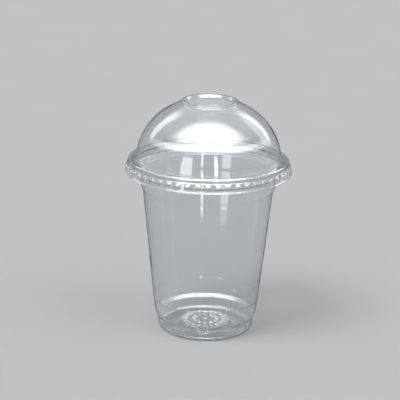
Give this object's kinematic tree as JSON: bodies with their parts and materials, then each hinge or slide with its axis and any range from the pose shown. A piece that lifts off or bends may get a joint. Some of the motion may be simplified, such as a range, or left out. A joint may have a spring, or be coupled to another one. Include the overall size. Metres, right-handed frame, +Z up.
{
  "type": "plastic cup with lid",
  "caption": "Clear tapered cold-drink cup with a rolled rim, a stacking step and a recessed base, closed by a press-on domed lid with a ribbed skirt and an open hole in the top.",
  "frame": {"origin": "centre of the cup's foot, on the surface that it stands on", "axes": "+Z up along the axis of the cup and lid; the form is round, and +X passes through the middle of one lug of the lid's skirt"},
  "size_m": [0.103, 0.103, 0.1466],
  "materials": {
    "cup_plastic": "clear, glossy",
    "lid_plastic": "clear, glossy"
  },
  "bodies": {
    "cup": {"cup": "cup_plastic"},
    "lid": {"dome_lid": "lid_plastic"}
  },
  "joints": [
    {"name": "lid_lift", "type": "slide", "parent": "cup", "child": "lid", "axis": [0, 0, 1], "range_m": [0, 0.06]}
  ]
}
